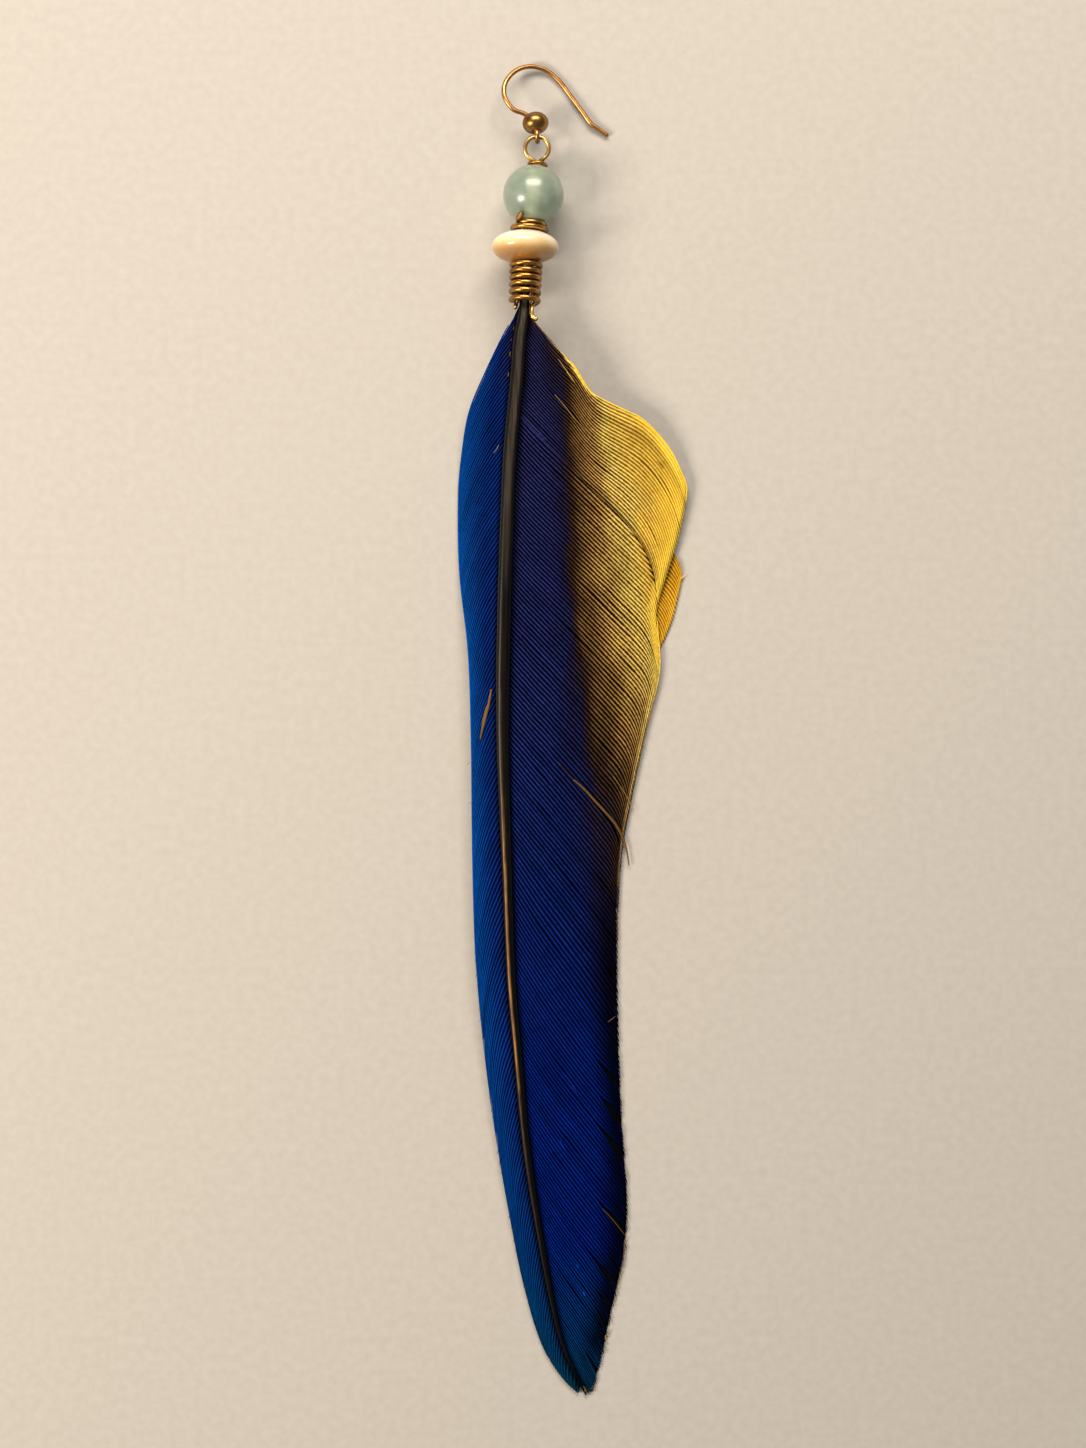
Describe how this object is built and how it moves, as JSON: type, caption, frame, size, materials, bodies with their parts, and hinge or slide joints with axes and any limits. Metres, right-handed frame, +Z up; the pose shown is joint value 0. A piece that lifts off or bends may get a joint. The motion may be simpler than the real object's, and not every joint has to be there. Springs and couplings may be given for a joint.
{
  "type": "macaw feather earring",
  "caption": "Blue and gold macaw wing feather wired to beads and a French ear hook, lying flat; the hook swings on its wire eye.",
  "frame": {"origin": "on the surface the earring lies on, below the middle of its bounding box", "axes": "+Y from the feather's tip to the hook, +Z up from the surface, +X to the yellow edge of the inner vane"},
  "size_m": [0.0302, 0.1758, 0.0093],
  "materials": {
    "macaw_keratin": "silky barbs, deep blue outside and yellow on the inner edge",
    "antiqued_brass": "antiqued, dark in the gaps",
    "bright_brass": "polished wire with a warm tarnish",
    "dark_brass": "darkly antiqued",
    "green_aventurine": "polished, see-through, with small flakes",
    "polished_bone": "polished ivory-coloured bone"
  },
  "bodies": {
    "drop": {"feather": "macaw_keratin", "wire_wrap": "antiqued_brass", "disc_bead": "polished_bone", "spacer_coil": "antiqued_brass", "aventurine_bead": "green_aventurine", "collar_ring": "antiqued_brass", "eye_wire": "bright_brass"},
    "hook": {"ear_wire": "bright_brass", "hook_ball": "dark_brass"}
  },
  "joints": [
    {"name": "hook_swing", "type": "hinge", "parent": "drop", "child": "hook", "pos_m": [-0.00472, 0.0764, 0.0034], "axis": [0, 0, 1], "range_deg": [-90, 90]}
  ]
}
